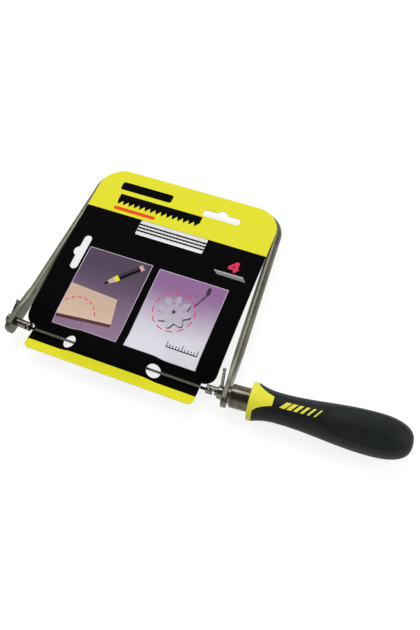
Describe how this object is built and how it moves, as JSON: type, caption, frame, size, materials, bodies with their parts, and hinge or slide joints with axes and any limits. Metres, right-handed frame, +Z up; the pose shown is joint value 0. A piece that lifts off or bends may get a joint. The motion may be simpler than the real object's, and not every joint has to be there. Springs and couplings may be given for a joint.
{
  "type": "fret saw",
  "caption": "Fret saw lying on its hanging card: chromed bow, blade holders with levers that turn together, pin-ended blade, screw handle with rubber grip, spare blades in a pocket.",
  "frame": {"origin": "bottom centre of the bounding box: middle of the length along X and of the width along Y, and the height of the lowest point of the grip", "axes": "+X along the saw from the front holder to the butt of the handle, +Y from the blade to the back of the bow, +Z up through the flat saw"},
  "size_m": [0.3453, 0.1944, 0.0342],
  "materials": {
    "chrome": "bright nickel-chrome plating with slight haze",
    "blade_steel": "hardened strip, ground along its length",
    "brass": "turned brass",
    "yellow_plastic": "moulded polypropylene, satin",
    "black_rubber": "moulded thermoplastic rubber, matt with a textured panel",
    "printed_card": null,
    "pocket_film": "white folded sheet"
  },
  "bodies": {
    "saw_frame": {"bow": "chrome", "card": "printed_card", "blade_pocket": "pocket_film", "spare_blade_1": "blade_steel", "spare_blade_2": "blade_steel", "spare_blade_3": "blade_steel", "spare_blade_pins": "blade_steel"},
    "front_holder": {"front_spigot": "chrome", "front_knob": "chrome", "front_lever": "chrome"},
    "blade_set": {"blade": "blade_steel", "front_blade_pin": "blade_steel", "rear_blade_pin": "blade_steel"},
    "rear_turner": {"rear_collar": "chrome", "rear_lever": "chrome"},
    "rear_holder": {"rear_spigot": "chrome"},
    "handle": {"ferrule": "chrome", "thrust_washer": "chrome", "tension_nut": "brass", "handle_core": "yellow_plastic", "handle_grip": "black_rubber"}
  },
  "joints": [
    {"name": "rear_turn", "type": "hinge", "parent": "saw_frame", "child": "rear_turner", "pos_m": [0.01292, -0.0795, 0.017], "axis": [0.9973, 0.0732, 0], "continuous": true},
    {"name": "front_turn", "type": "hinge", "parent": "saw_frame", "child": "front_holder", "pos_m": [-0.15208, -0.0795, 0.017], "axis": [0.9988, -0.0488, 0], "continuous": true},
    {"name": "blade_turn", "type": "hinge", "parent": "saw_frame", "child": "blade_set", "pos_m": [-0.15208, -0.0795, 0.017], "axis": [1, 0, 0], "continuous": true},
    {"name": "rear_draw", "type": "slide", "parent": "rear_turner", "child": "rear_holder", "axis": [0.9973, 0.0732, 0], "range_m": [-0.004, 0]},
    {"name": "handle_turn", "type": "hinge", "parent": "saw_frame", "child": "handle", "pos_m": [0.01292, -0.0795, 0.017], "axis": [0.9973, 0.0732, 0], "range_deg": [0, 1800]}
  ],
  "couplings": [
    {"joint": "front_turn", "follows": "rear_turn", "ratio": 1},
    {"joint": "blade_turn", "follows": "rear_turn", "ratio": 1},
    {"joint": "rear_draw", "follows": "handle_turn", "m_per_rad": -0.00012732}
  ]
}
